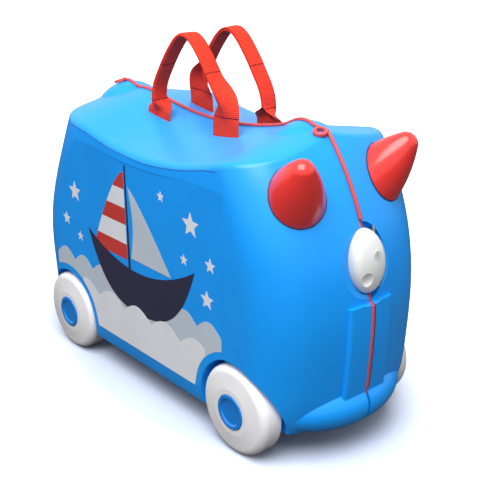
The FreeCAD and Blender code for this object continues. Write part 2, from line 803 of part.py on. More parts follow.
keep("seal_strip", seal_strip())
for end in LOOP_PLACES:
    keep(f"{end}_tow_loop", tow_loop(end))


# Turned pieces

def new_body(name):
    """Body with an empty sketch on its XY plane."""
    body = doc.addObject("PartDesign::Body", name)
    sketch = body.newObject("Sketcher::SketchObject", f"{name}_profile")
    plane = next(feature for feature in body.Origin.OriginFeatures if feature.Role == "XY_Plane")
    sketch.AttachmentSupport = [(plane, "")]
    sketch.MapMode = "FlatFace"
    return body, sketch


def turn(body, sketch):
    """Revolves a profile about the sketch's X axis."""
    solid = body.newObject("PartDesign::Revolution", f"{body.Name}_turn")
    solid.Profile = sketch
    solid.ReferenceAxis = (sketch, ["H_Axis"])
    solid.Angle = 360
    return solid


def turned(name, corners, rounds=()):
    """Turned piece along X; each rounding names the corner whose edge it softens."""
    body, sketch = new_body(name)
    outline(sketch, corners)
    last = turn(body, sketch)
    for number, (corner, radius) in enumerate(rounds):
        doc.recompute()
        edges = [
            f"Edge{place_number}" for place_number, edge in enumerate(last.Shape.Edges, start=1)
            if isinstance(edge.Curve, Part.Circle)
            and abs(edge.Curve.Radius - corner[1].value) < size("running_gap").value
            and abs(edge.CenterOfMass.x - corner[0].value) < size("running_gap").value
        ]
        softened = body.newObject("PartDesign::Fillet", f"{name}_round{number}")
        softened.Base = (last, edges)
        bind(softened, Radius=radius)
        last = softened
    return body


# Wheels, measured outwards from the inner face of each wheel

bore_radius = size("axle_radius") + size("running_gap")
rim_inner = size("wheel_radius") - size("wheel_rim_depth")
cap_room = size("cap_radius") + size("seat_gap")
cap_floor = size("wheel_width") - size("cap_seat")
head_room = size("axle_head_radius") + size("seat_gap")
head_floor = cap_floor - size("axle_head") - size("seat_gap") * 2
face_edge = cap_room + size("wheel_face_ring")
shoulder = (size("wheel_width") - size("wheel_crown"), size("wheel_radius"))
tread_inner = (ZERO, size("wheel_radius"))
wheel_corners = [
    (ZERO, bore_radius),
    (head_floor, bore_radius),
    (head_floor, head_room),
    (cap_floor, head_room),
    (cap_floor, cap_room),
    (size("wheel_width"), cap_room),
    (size("wheel_width"), face_edge),
    shoulder,
    tread_inner,
    (ZERO, rim_inner),
    (size("wheel_dish"), rim_inner),
    (size("wheel_dish"), size("wheel_hub_radius")),
    (ZERO, size("wheel_hub_radius")),
]
wheel_rounds = [(shoulder, size("wheel_shoulder")), (tread_inner, size("wheel_inner_edge"))]

cap_top = size("wheel_width") + size("cap_proud")
cap_edge = (cap_top, size("cap_radius"))
cap_dish_radius = size("cap_radius") - size("cap_rim")
cap_corners = [
    (cap_floor, ZERO),
    (cap_top - size("cap_dish"), ZERO),
    (cap_top - size("cap_dish"), cap_dish_radius - size("cap_dish")),
    (cap_top, cap_dish_radius),
    cap_edge,
    (cap_floor, size("cap_radius")),
]
cap_rounds = [(cap_edge, size("cap_edge_round"))]

boss_face = -(size("arch_depth") + size("boss_length"))
clip_face = boss_face - size("clip_thick")
axle_start = clip_face - size("axle_tail")
head_start = head_floor + size("seat_gap")
head_end = head_start + size("axle_head")
axle_corners = [
    (axle_start, ZERO),
    (head_end, ZERO),
    (head_end, size("axle_head_radius")),
    (head_start, size("axle_head_radius")),
    (head_start, size("axle_radius")),
    (axle_start, size("axle_radius")),
]
clip_corners = [
    (clip_face, size("axle_radius")),
    (boss_face, size("axle_radius")),
    (boss_face, size("clip_radius")),
    (clip_face, size("clip_radius")),
]

SIDES = {"left": (-90, -wheel_inner), "right": (90, wheel_inner)}
for side, (heading, inner_face) in SIDES.items():
    for end, where in WHEEL_PLACES.items():
        corner = f"{end}_{side}"
        turned_pieces = {
            f"{corner}_wheel": turned(f"{corner}_wheel", wheel_corners, wheel_rounds),
            f"{corner}_hub_cap": turned(f"{corner}_hub_cap", cap_corners, cap_rounds),
            f"{corner}_axle": turned(f"{corner}_axle", axle_corners),
            f"{corner}_axle_clip": turned(f"{corner}_axle_clip", clip_corners),
        }
        for name, piece in turned_pieces.items():
            place(piece, where, inner_face, size("wheel_radius"), Rotation(Vector(0, 0, 1), heading))
            keep(name, piece)


# Horns

def egg():
    """Egg-shaped horn about X: a wide base ball, a narrow tip ball and a long flank between them."""
    body, sketch = new_body("horn_egg")
    base = size("horn_base_radius").value
    tip = size("horn_tip_radius").value
    flank = size("horn_flank").value
    length = size("horn_length").value
    along = ((flank - base) ** 2 - (flank - tip) ** 2 + length ** 2) / (2 * length)
    below = math.sqrt((flank - base) ** 2 - along ** 2)
    base_turn = math.atan2(below, -along)
    tip_turn = math.atan2(below, length - along)
    sketch.addGeometry(arc(Vector(length, 0, 0), tip, 0, tip_turn))
    sketch.addGeometry(arc(Vector(along, -below, 0), flank, tip_turn, base_turn))
    sketch.addGeometry(arc(Vector(), base, base_turn, math.pi))
    sketch.addGeometry(Part.LineSegment(Vector(-base, 0, 0), Vector(length + tip, 0, 0)))
    tangent_chain(sketch, range(3))
    sketch.addConstraint(Sketcher.Constraint("Coincident", 2, 2, 3, 1))
    sketch.addConstraint(Sketcher.Constraint("Coincident", 3, 2, 0, 1))
    for end in (1, 2):
        sketch.addConstraint(Sketcher.Constraint("PointOnObject", 3, end, -1))
    pin_down(sketch, 2, 3, ZERO, ZERO)
    pin_down(sketch, 0, 3, size("horn_length"), ZERO)
    for geometry, alias in enumerate(("horn_tip_radius", "horn_flank", "horn_base_radius")):
        hold_radius(sketch, geometry, size(alias))
    turn(body, sketch)
    return place(body, *horn_axis_point(ZERO), EGG_TO_HORN)


def horn():
    """Horn that stands on the case, with a peg through the wall for its screw."""
    seat = case_block("horn_seat", -size("seat_gap"))
    cone = cut("horn_cone", egg(), seat)
    start = horn_axis_point(-size("horn_peg_depth"))
    peg = cylinder("horn_peg", size("horn_peg_radius"), size("horn_peg_depth") + size("horn_base_radius"),
                   *start, ALONG_HORN)
    bore = cylinder("horn_screw_bore", size("horn_screw_radius"), size("horn_screw_length"),
                    *start, ALONG_HORN)
    return cut("left_horn", fuse("horn_whole", cone, peg), bore)


def horn_screw():
    head = cylinder("horn_screw_head", size("horn_screw_head"), size("horn_screw_thick"),
                    *horn_axis_point(-size("horn_peg_depth") - size("horn_screw_thick")), ALONG_HORN)
    shank = cylinder("horn_screw_shank", size("horn_screw_radius"), size("horn_screw_length"),
                     *horn_axis_point(-size("horn_peg_depth")), ALONG_HORN)
    return fuse("left_horn_screw", head, shank)


# Hinge under the belly

def hinge_leaf(name, first):
    """Leaf for the left half, with every second knuckle from a given one."""
    length = size("hinge_half_length")
    top = size("body_bottom") - size("leaf_thick")
    plate = box(f"{name}_plate", (-length, -size("leaf_outer"), top),
                (length, -size("leaf_inner"), size("body_bottom")))
    lumps = [plate]
    step = length * 2 / KNUCKLES
    for number in range(first, KNUCKLES, 2):
        start = step * number - length + size("knuckle_gap") / 2
        span = step - size("knuckle_gap")
        lumps.append(cylinder(f"{name}_knuckle{number}", size("knuckle_radius"), span,
                              start, ZERO, size("hinge_level"), TO_FRONT))
        lumps.append(box(f"{name}_web{number}", (start, -size("knuckle_radius"), size("hinge_level")),
                         (start + span, -size("leaf_inner"), top)))
    bore = cylinder(f"{name}_bore", size("hinge_pin_radius") + size("running_gap"), length * 2,
                    -length, ZERO, size("hinge_level"), TO_FRONT)
    return cut(name, fuse(f"{name}_whole", *lumps), bore, *leaf_screw_rods(f"{name}_screw"))


def leaf_screws():
    """Four separate pan-head screws that hold a leaf to the belly."""
    aside = -(size("leaf_inner") + size("leaf_outer")) / 2
    start = size("body_bottom") - size("leaf_thick") - size("leaf_screw_head")
    screws = []
    for number, (where, shank) in enumerate(zip(leaf_screw_places(), leaf_screw_rods("screw_shank"))):
        head = cylinder(f"screw_head{number}", size("leaf_screw_radius"), size("leaf_screw_head"),
                        where, aside, start)
        screws.append(fuse(f"hinge_screw{number}", head, shank))
    group = doc.addObject("Part::Compound", "left_hinge_screws")
    group.Links = screws
    return group


# Catches

def catch_set(end):
    """Domed catch, its pin, its lock barrel and its keeper, built in the catch's own frame."""
    height = size("catch_height")
    width = size("catch_width")
    front = size("catch_proud")
    back = -size("catch_back")
    floor = -size("catch_floor")
    stem = oval_column(f"{end}_catch_stem", ZERO, back, front - back)
    crown = bind(doc.addObject("Part::Sphere", f"{end}_catch_crown"), Radius=size("catch_crown_radius"))
    place(crown, x=front - size("catch_crown_radius"))
    dome = common(f"{end}_catch_dome", stem, crown)
    doc.recompute()
    rim_edges = [
        number for number, edge in enumerate(dome.Shape.Edges, start=1)
        if edge.BoundBox.XMin > ZERO.value and edge.BoundBox.ZLength > height.value / 2
    ]
    rounded = fillet(f"{end}_catch_rounded", dome, size("catch_rim_round"), rim_edges)

    room = size("keeper_room")
    tall = size("keeper_height") / 2
    wide = size("keeper_width") / 2
    aside = -size("keeper_aside")
    keeper_top = floor + size("keeper_rise")
    keeper_hole = box(f"{end}_keeper_hole", (back - size("overrun"), aside - wide - room, -tall - room),
                      (keeper_top + size("keeper_head_room"), aside + wide + room, tall + room))
    block = box(f"{end}_keeper_block", (floor, aside - wide, -tall), (keeper_top, aside + wide, tall))
    doc.recompute()
    outer_edges = [
        number for number, edge in enumerate(block.Shape.Edges, start=1)
        if edge.BoundBox.XMin > keeper_top.value - size("running_gap").value
    ]
    keeper = fillet(f"{end}_keeper_round", block, size("keeper_round"), outer_edges)

    pin_aside = size("catch_pin_aside")
    pocket_half_width = width / 2 + size("catch_swing_room")
    pocket_share = math.sqrt(1 - (pin_aside.value / pocket_half_width.value) ** 2)
    pin_half = (height / 2 + size("catch_swing_room")) * pocket_share + size("catch_pin_hold")
    pin_place = (-size("catch_pin_depth"), pin_aside, -pin_half)
    rod = cylinder(f"{end}_catch_rod", size("catch_pin_radius"), pin_half * 2, *pin_place)
    pin = doc.addObject("Part::Compound", f"{end}_catch_pin_whole")
    pin.Links = [rod]
    pin_bore = size("catch_pin_radius") + size("running_gap")
    pin_hole = cylinder(f"{end}_catch_pin_hole", pin_bore, pin_half * 2, *pin_place)

    lock_back = back + size("lock_back_room")
    lock_place = (size("lock_aside"), size("lock_above"))
    lock_hole = cylinder(f"{end}_lock_hole", size("lock_radius") + size("running_gap"), size("overrun"),
                         lock_back - size("running_gap"), *lock_place, TO_FRONT)
    barrel = cylinder(f"{end}_lock_barrel", size("lock_radius"), front - lock_back,
                      lock_back, *lock_place, TO_FRONT)
    slot_half = size("key_slot_width") / 2
    slot_tall = size("key_slot_length") / 2
    slot = box(f"{end}_key_slot",
               (front - size("key_slot_depth"), lock_place[0] - slot_half, lock_place[1] - slot_tall),
               (front + size("overrun"), lock_place[0] + slot_half, lock_place[1] + slot_tall))
    lock = cut(f"{end}_lock_whole", barrel, slot)

    scoop = bind(doc.addObject("Part::Sphere", f"{end}_catch_scoop"), Radius=size("scoop_radius"))
    place(scoop, front + size("scoop_radius") - size("scoop_depth") - size("scoop_back"),
          -size("scoop_aside"), -size("scoop_below"))
    lever = cut(f"{end}_catch_lever", rounded, keeper_hole, pin_hole, lock_hole, scoop)
    kinds = {"catch": lever, "catch_pin": pin, "lock": lock, "keeper": keeper}
    return {kind: at_catch(end, piece) for kind, piece in kinds.items()}


# Webbing handles

def strap_station(name, rank, heading):
    """Cross-section of the folded webbing at one station of the arch, facing along it."""
    last = len(ARCH_SPAN_SHARES) * 2 - 2

    def spot(number):
        number = min(number, last - number)
        return ARCH_SPAN_SHARES[number], ARCH_RISE_SHARES[number], ARCH_FOLD_SHARES[number]

    side = 1 if rank * 2 <= last else -1
    span, rise, fold = spot(rank)
    half_span = size("handle_half_span")
    height = size("handle_top") - size("handle_pivot")

    def point(number):
        way = 1 if number * 2 <= last else -1
        share, lift, _ = spot(number)
        return Vector(half_span.value * share * way, 0, height.value * lift)

    along = point(min(rank + 1, last)) - point(max(rank - 1, 0))
    along.normalize()
    inward = Vector(0, -1, 0).cross(along)
    turn_angle = math.pi / 2 * fold
    face = Vector(0, heading, 0) * math.cos(turn_angle) - inward * math.sin(turn_angle)
    across = face.cross(along)
    half_width = (size("webbing_width") + (size("grip_width") - size("webbing_width")) * fold) / 2
    half_thick = (size("webbing_thick") + (size("grip_thick") - size("webbing_thick")) * fold) / 2
    sketch = doc.addObject("Sketcher::SketchObject", name)
    outline(sketch, [(half_width, half_thick), (-half_width, half_thick),
                     (-half_width, -half_thick), (half_width, -half_thick)])
    place(sketch, size("handle_middle") + half_span * (span * side), -size("handle_aside"),
          size("handle_pivot") + height * rise, Rotation(across, face, along, "ZXY"))
    return sketch


def handle():
    """Arch of webbing: flat feet, a quarter twist and a folded grip."""
    count = len(ARCH_SPAN_SHARES) * 2 - 1
    strap = doc.addObject("Part::Loft", "handle_strap")
    strap.Sections = [strap_station(f"strap{rank}", rank, -1) for rank in range(count)]
    strap.Solid = True
    strap.Ruled = True
    ends = [
        cylinder(f"{end}_strap_end", size("webbing_thick") / 2, size("webbing_width"),
                 where - size("webbing_width") / 2, -size("handle_aside"), size("handle_pivot"), TO_FRONT)
        for end, where in handle_foot_places().items()
    ]
    return fuse("left_handle", strap, *ends)


def handle_feet():
    """Webbing that passes through the slots and round the anchor bars, and the bars."""
    feet = []
    bars = []
    aside = -size("handle_aside")
    level = size("anchor_level")
    for end, where in handle_foot_places().items():
        half = size("webbing_width") / 2
        half_thick = size("webbing_thick") / 2
        top = size("handle_pivot") - half_thick - size("seat_gap")
        tab = box(f"{end}_strap_tab", (where - half, aside - half_thick, level),
                  (where + half, aside + half_thick, top))
        sleeve_bore = size("anchor_radius") + size("seat_gap")
        sleeve = cylinder(f"{end}_strap_sleeve", sleeve_bore + half_thick, size("webbing_width"),
                          where - half, aside, level, TO_FRONT)
        hole = cylinder(f"{end}_strap_hole", sleeve_bore, size("webbing_width"),
                        where - half, aside, level, TO_FRONT)
        feet.append(cut(f"{end}_strap_foot", fuse(f"{end}_strap_joint", tab, sleeve), hole))
        reach = half + size("anchor_overhang")
        bars.append(cylinder(f"{end}_anchor", size("anchor_radius"), reach * 2,
                             where - reach, aside, level, TO_FRONT))
    groups = []
    for name, members in (("left_handle_feet", feet), ("left_anchor_bars", bars)):
        group = doc.addObject("Part::Compound", name)
        group.Links = members
        groups.append(group)
    return groups


left_feet, left_bars = handle_feet()
left_pieces = {
    "horn": horn(),
    "horn_screw": horn_screw(),
    "hinge_screws": leaf_screws(),
    "handle": handle(),
    "handle_feet": left_feet,
    "anchor_bars": left_bars,
}
for name, piece in left_pieces.items():
    keep(f"left_{name}", piece)
    keep(f"right_{name}", mirrored(f"right_{name}", piece))

keep("left_hinge_leaf", hinge_leaf("left_hinge_leaf", 0))
keep("right_hinge_leaf", mirrored("right_hinge_leaf", hinge_leaf("odd_hinge_leaf", 1)))
pin_reach = size("hinge_half_length") + size("hinge_pin_end")
keep("hinge_pin", cylinder("hinge_pin", size("hinge_pin_radius"), pin_reach * 2,
                           -pin_reach, ZERO, size("hinge_level"), TO_FRONT))

pin_rods = []
for end in CATCH_TILT_DEGREES:
    catch_pieces = catch_set(end)
    pin_rods.append(catch_pieces["catch_pin"])
    for kind, piece in catch_pieces.items():
        keep(f"{end}_{kind}", piece)
swing_rooms = [
    catch_pocket("swing_room", end, size("catch_swing_room"), size("catch_floor"))
    for end in CATCH_TILT_DEGREES
]
keep("right_shell", cut("right_shell", mirrored("right_core", core), *swing_rooms, *pin_rods))

doc.recompute()
failed = [thing.Name for thing in doc.Objects if {"Invalid", "Error"} & set(thing.State)]
for name, piece in pieces.items():
    if piece.Shape.isNull() or not piece.Shape.isValid():
        failed.append(name)
if failed:
    raise RuntimeError(f"not built: {failed}")

os.makedirs("parts", exist_ok=True)
for name, piece in pieces.items():
    piece.Shape.exportStep(f"parts/{name}.step")
    print(name, len(piece.Shape.Solids), "solid, volume", round(piece.Shape.Volume))
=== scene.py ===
# %% [markdown]
# # Dressing a ride-on suitcase
# A child's hard suitcase on four wheels comes from CAD as a fixed frame: two hinged shells, horns,
# wheels, catches and the bars that hold the handles. This lesson lights it, gives every surface its
# finish, and adds what a CAD model leaves out: woven handles, the raised piping of the seam, thin dark
# tubes of painted shadow in the gaps and the crease, and the printed sides.

# %% Load the frame
import json
import math

import bpy
from mathutils import Matrix, Vector
from mathutils.bvhtree import BVHTree


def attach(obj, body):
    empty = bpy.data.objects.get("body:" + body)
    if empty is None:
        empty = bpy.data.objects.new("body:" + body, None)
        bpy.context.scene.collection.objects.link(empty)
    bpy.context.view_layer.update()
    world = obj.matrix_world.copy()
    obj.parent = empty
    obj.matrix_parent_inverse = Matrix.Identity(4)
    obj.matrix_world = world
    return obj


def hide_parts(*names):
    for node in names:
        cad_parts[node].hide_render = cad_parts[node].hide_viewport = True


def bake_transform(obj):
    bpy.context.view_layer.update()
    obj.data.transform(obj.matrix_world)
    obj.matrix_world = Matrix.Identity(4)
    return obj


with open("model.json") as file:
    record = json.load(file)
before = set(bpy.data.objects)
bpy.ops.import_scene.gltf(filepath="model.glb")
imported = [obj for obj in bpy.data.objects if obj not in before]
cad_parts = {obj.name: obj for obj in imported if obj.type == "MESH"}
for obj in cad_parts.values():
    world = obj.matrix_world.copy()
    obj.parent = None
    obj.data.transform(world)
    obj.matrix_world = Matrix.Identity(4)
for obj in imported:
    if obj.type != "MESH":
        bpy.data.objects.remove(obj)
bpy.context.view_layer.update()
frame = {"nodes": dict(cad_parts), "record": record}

# %% [markdown]
# ## Camera
# The picture looks down on the front left corner from a little over half a metre up. A camera can be
# aimed by a constraint, or its matrix can be written from three directions. The matrix is used, because
# it also holds the small roll of the picture.

# %% Camera
AZIMUTH = math.radians(50.30)
ELEVATION = math.radians(21.25)
ROLL = math.radians(-0.75)
CAMERA_PLACE = Vector((0.7545, -0.5869, 0.5187))
FOCAL_LENGTH = 71.8
SENSOR_WIDTH = 36

back = Vector((
    math.sin(AZIMUTH) * math.cos(ELEVATION),
    -math.cos(AZIMUTH) * math.cos(ELEVATION),
    math.sin(ELEVATION),
))
level_right = Vector((math.cos(AZIMUTH), math.sin(AZIMUTH), 0))
level_up = back.cross(level_right)
right = level_right * math.cos(ROLL) + level_up * math.sin(ROLL)
up = level_up * math.cos(ROLL) - level_right * math.sin(ROLL)

lens = bpy.data.cameras.new("studio_camera")
lens.lens = FOCAL_LENGTH
lens.sensor_width = SENSOR_WIDTH
lens.sensor_fit = "HORIZONTAL"
camera = bpy.data.objects.new("studio_camera", lens)
bpy.context.collection.objects.link(camera)
turn = Matrix((right, up, back)).transposed().to_4x4()
camera.matrix_world = Matrix.Translation(CAMERA_PLACE) @ turn
bpy.context.scene.camera = camera
print("camera", tuple(round(value, 3) for value in camera.location))

# %% [markdown]
# ## Small helpers
# Operators act on whatever is selected, and the CAD nodes come in selected. So everything is deselected
# before a primitive is added, and a helper selects one piece alone. Modifiers could stay live, but they
# are applied at once, so that a piece ends as a plain mesh at the origin.

# %% Helpers
MERGE_REACH = 1e-6


def select_only(piece):
    """Makes one piece the only selected and the active one."""
    bpy.ops.object.select_all(action="DESELECT")
    piece.select_set(True)
    bpy.context.view_layer.objects.active = piece


def apply_modifiers(piece):
    """Applies a piece's modifiers in their order."""
    select_only(piece)
    for modifier in list(piece.modifiers):
        bpy.ops.object.modifier_apply(modifier=modifier.name)


def face_outwards(piece):
    """Merges doubled corners and turns every face outwards."""
    select_only(piece)
    bpy.ops.object.mode_set(mode="EDIT")
    bpy.ops.mesh.select_all(action="SELECT")
    bpy.ops.mesh.remove_doubles(threshold=MERGE_REACH)
    bpy.ops.mesh.normals_make_consistent(inside=False)
    bpy.ops.object.mode_set(mode="OBJECT")


def dress(piece, material, body):
    """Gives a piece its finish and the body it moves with."""
    piece.data.materials.clear()
    piece.data.materials.append(material)
    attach(piece, body)
    print(piece.name, len(piece.data.polygons), "faces on", body)


# %% [markdown]
# ## Floor, light and background
# One wide lamp hangs before and above the front left corner. It makes the deck the brightest face, then
# the front, then the side, and leaves the right hand faces to the dimmer light of the room. The floor
# is white only where the camera sees it: to the plastic it looks dark grey, or it would lay a pale haze
# over the saturated blue. The floor's colour is tinted blue as painted bounce light from the case. The
# lamp takes this bluish floor up to full white, so that only the soft shadow at the wheels is left, in
# the blue that the case throws on it, strengthened by that painted tint. Outside the long footprint of
# the case the floor glows white by itself. The room is white to the camera and in the gloss of the
# plastic, and dimmer as a light, so that the lamp shapes the case.

# %% Floor
FLOOR_SIZE = 14

bpy.ops.object.select_all(action="DESELECT")
bpy.ops.mesh.primitive_plane_add(size=FLOOR_SIZE)
floor = bpy.context.object
floor.name = "studio_floor"
print("floor", FLOOR_SIZE, "m wide")

# %% Finish of the floor
# Blue tint of the floor: painted bounce light from the case, seen in its shadow; the lit floor clips to
# white.
FLOOR_SEEN_BOUNCE_TINT = (0.66, 0.73, 0.90, 1)
FLOOR_UNSEEN = (0.10, 0.10, 0.10, 1)
FOOTPRINT_SHAPE = (1.0, 1.9, 1.0)
GLOW_START = 0.235
GLOW_FULL = 0.42

floor_material = bpy.data.materials.new("white_sweep")
floor_material.use_nodes = True
tree = floor_material.node_tree
tree.nodes.clear()


def diffuse(tree, colour):
    """Matt surface of one colour."""
    node = tree.nodes.new("ShaderNodeBsdfDiffuse")
    node.inputs["Color"].default_value = colour
    return node.outputs[0]


spot = tree.nodes.new("ShaderNodeTexCoord")
footprint = tree.nodes.new("ShaderNodeVectorMath")
footprint.operation = "MULTIPLY"
footprint.inputs[1].default_value = FOOTPRINT_SHAPE
tree.links.new(spot.outputs["Object"], footprint.inputs[0])
distance = tree.nodes.new("ShaderNodeVectorMath")
distance.operation = "LENGTH"
tree.links.new(footprint.outputs["Vector"], distance.inputs[0])
lift = tree.nodes.new("ShaderNodeMapRange")
lift.inputs["From Min"].default_value = GLOW_START
lift.inputs["From Max"].default_value = GLOW_FULL
tree.links.new(distance.outputs["Value"], lift.inputs["Value"])
glow = tree.nodes.new("ShaderNodeEmission")
tree.links.new(lift.outputs["Result"], glow.inputs["Strength"])
seen_floor = tree.nodes.new("ShaderNodeAddShader")
tree.links.new(diffuse(tree, FLOOR_SEEN_BOUNCE_TINT), seen_floor.inputs[0])
tree.links.new(glow.outputs[0], seen_floor.inputs[1])
path = tree.nodes.new("ShaderNodeLightPath")
choice = tree.nodes.new("ShaderNodeMixShader")
tree.links.new(path.outputs["Is Camera Ray"], choice.inputs["Fac"])
tree.links.new(diffuse(tree, FLOOR_UNSEEN), choice.inputs[1])
tree.links.new(seen_floor.outputs[0], choice.inputs[2])
output = tree.nodes.new("ShaderNodeOutputMaterial")
tree.links.new(choice.outputs[0], output.inputs["Surface"])
floor.data.materials.append(floor_material)

# %% World
ROOM_SHOWN = 1.0
ROOM_LIGHT = 0.53

world = bpy.data.worlds.new("white_room")
bpy.context.scene.world = world
world.use_nodes = True
tree = world.node_tree
room = tree.nodes["Background"]
room.inputs["Color"].default_value = (1, 1, 1, 1)
path = tree.nodes.new("ShaderNodeLightPath")
seen = path.outputs["Is Camera Ray"]
for ray in ("Is Glossy Ray", "Is Transmission Ray"):
    either = tree.nodes.new("ShaderNodeMath")
    either.operation = "MAXIMUM"
    tree.links.new(seen, either.inputs[0])
    tree.links.new(path.outputs[ray], either.inputs[1])
    seen = either.outputs[0]
strength = tree.nodes.new("ShaderNodeMath")
strength.operation = "MULTIPLY_ADD"
strength.inputs[1].default_value = ROOM_SHOWN - ROOM_LIGHT
strength.inputs[2].default_value = ROOM_LIGHT
tree.links.new(seen, strength.inputs[0])
tree.links.new(strength.outputs[0], room.inputs["Strength"])
bpy.context.scene.view_settings.view_transform = "Standard"
print("room light", ROOM_LIGHT)

# %% Lamp
LAMP_PLACE = Vector((0.54, -0.64, 1.67))
LAMP_AIM = Vector((0, 0, 0.2))
LAMP_POWER = 43
LAMP_WIDTH = 1.4

lamp = bpy.data.lights.new("key_lamp", "AREA")
lamp.energy = LAMP_POWER
lamp.shape = "SQUARE"
lamp.size = LAMP_WIDTH
holder = bpy.data.objects.new("key_lamp", lamp)
bpy.context.collection.objects.link(holder)
holder.location = LAMP_PLACE
holder.rotation_euler = (LAMP_AIM - LAMP_PLACE).to_track_quat("-Z", "Y").to_euler()
print("lamp of", LAMP_POWER, "W")

# %% [markdown]
# ## Finishes
# Each finish is a Principled shader with a little life in it: a noise that shifts the colour by a few
# percent, a second one for the roughness, and a fine bump for the grain of the mould. A picture could
# be painted for each piece instead, but a noise needs no seams and fits every piece. Object coordinates
# are metres, so a noise scale of 1000 is a grain of about a millimetre.

# %% Nodes of the finishes
def noise(tree, scale, detail=3.0, stretch=None):
    """Clouds or grain on Object coordinates, stretched along an axis if asked."""
    place = tree.nodes.new("ShaderNodeTexCoord")
    texture = tree.nodes.new("ShaderNodeTexNoise")
    texture.inputs["Scale"].default_value = scale
    texture.inputs["Detail"].default_value = detail
    if stretch is None:
        tree.links.new(place.outputs["Object"], texture.inputs["Vector"])
    else:
        mapping = tree.nodes.new("ShaderNodeMapping")
        mapping.inputs["Scale"].default_value = stretch
        tree.links.new(place.outputs["Object"], mapping.inputs["Vector"])
        tree.links.new(mapping.outputs["Vector"], texture.inputs["Vector"])
    return texture.outputs["Fac"]


def ramp(tree, value, low, high, start=0.35, end=0.65):
    """Carries a value from one colour to another."""
    node = tree.nodes.new("ShaderNodeValToRGB")
    node.color_ramp.elements[0].position = start
    node.color_ramp.elements[1].position = end
    node.color_ramp.elements[0].color = low
    node.color_ramp.elements[1].color = high
    tree.links.new(value, node.inputs["Fac"])
    return node.outputs["Color"]


def spread(tree, value, low, high):
    """Carries a value from zero-to-one to a range."""
    node = tree.nodes.new("ShaderNodeMapRange")
    node.inputs["To Min"].default_value = low
    node.inputs["To Max"].default_value = high
    tree.links.new(value, node.inputs["Value"])
    return node.outputs["Result"]


def raise_grain(tree, shader, value, depth):
    """Lifts a surface by a value, as a bump of a depth in metres."""
    node = tree.nodes.new("ShaderNodeBump")
    node.inputs["Distance"].default_value = depth
    tree.links.new(value, node.inputs["Height"])
    tree.links.new(node.outputs["Normal"], shader.inputs["Normal"])


# %% Moulded plastics
CLOUDS = 14.0
SMEARS = 30.0
SMEAR_DETAIL = 5.0
SMEAR_STRETCH = (1.0, 1.0, 3.0)
SMOOTHER = 0.05
ROUGHER = 0.06
GRAIN_DETAIL = 2.0
COAT_ROUGHNESS = 0.12


def plastic(name, colour, roughness, grain=1400.0, depth=0.00002, coat=0.0, shift=0.06):
    """Moulded plastic, with a grain per metre, the grain's depth, a clear coat and a shift of its colour."""
    material = bpy.data.materials.new(name)
    material.use_nodes = True
    tree = material.node_tree
    shader = tree.nodes["Principled BSDF"]
    low = tuple(channel * (1 - shift) for channel in colour) + (1,)
    high = tuple(min(1, channel * (1 + shift)) for channel in colour) + (1,)
    tree.links.new(ramp(tree, noise(tree, CLOUDS), low, high), shader.inputs["Base Color"])
    smear = noise(tree, SMEARS, SMEAR_DETAIL, SMEAR_STRETCH)
    worn = spread(tree, smear, roughness - SMOOTHER, roughness + ROUGHER)
    tree.links.new(worn, shader.inputs["Roughness"])
    raise_grain(tree, shader, noise(tree, grain, GRAIN_DETAIL), depth)
    shader.inputs["Coat Weight"].default_value = coat
    shader.inputs["Coat Roughness"].default_value = COAT_ROUGHNESS
    return material


shell_blue = plastic("shell_blue", (0.003, 0.33, 0.97), 0.36, shift=0.03)
cap_blue = plastic("cap_blue", (0.004, 0.215, 0.70), 0.30)
horn_red = plastic("horn_red", (0.78, 0.036, 0.030), 0.24, grain=900.0, coat=0.25)
seal_red = plastic("seal_red", (0.60, 0.075, 0.085), 0.48, grain=2200.0)
wheel_white = plastic("wheel_white", (0.92, 0.905, 0.93), 0.26, grain=500.0, coat=0.3, shift=0.04)
catch_white = plastic("catch_white", (0.78, 0.79, 0.79), 0.25, coat=0.2, shift=0.02)
lock_grey = plastic("lock_grey", (0.60, 0.61, 0.63), 0.35)
hinge_grey = plastic("hinge_grey", (0.03, 0.13, 0.40), 0.55, grain=1800.0)
# Near black, painted as the shadow in the seam and in the gaps round the horns.
painted_shadow_dark = plastic("painted_shadow_dark", (0.010, 0.012, 0.040), 0.60, grain=1800.0)
# Darker blue, painted as the shade in the crease under the lip.
painted_crease_shade = plastic("painted_crease_shade", (0.004, 0.180, 0.570), 0.60, grain=1800.0)

# %% Metal
BRUSH_MARKS = 700.0
BRUSH_STRETCH = (0.05, 1.0, 1.0)
BRUSH_DARK = 0.85
BRUSH_DEPTH = 0.00002
STEEL_ROUGHNESS = (0.28, 0.42)


def brushed(name, colour):
    """Metal with fine marks along the x axis."""
    material = bpy.data.materials.new(name)
    material.use_nodes = True
    tree = material.node_tree
    shader = tree.nodes["Principled BSDF"]
    shader.inputs["Metallic"].default_value = 1.0
    lines = noise(tree, BRUSH_MARKS, GRAIN_DETAIL, BRUSH_STRETCH)
    dark = tuple(channel * BRUSH_DARK for channel in colour) + (1,)
    tree.links.new(ramp(tree, lines, dark, colour + (1,)), shader.inputs["Base Color"])
    tree.links.new(spread(tree, lines, *STEEL_ROUGHNESS), shader.inputs["Roughness"])
    raise_grain(tree, shader, lines, BRUSH_DEPTH)
    return material


steel = brushed("steel", (0.60, 0.61, 0.63))
print("finishes", [material.name for material in bpy.data.materials])

# %% Finishes on the CAD nodes
FINISH_OF_SLOT = {
    "shell_blue": shell_blue,
    "cap_blue": cap_blue,
    "horn_red": horn_red,
    "seal_red": seal_red,
    "wheel_white": wheel_white,
    "catch_white": catch_white,
    "lock_grey": lock_grey,
    "hinge_grey": hinge_grey,
    "steel": steel,
    "webbing_red": seal_red,
}
slot_of_node = {part["node"]: part["material_slot"] for part in frame["record"]["subparts"]}
for name, node in frame["nodes"].items():
    node.data.materials.clear()
    node.data.materials.append(FINISH_OF_SLOT[slot_of_node[name]])
print(len(slot_of_node), "nodes finished")

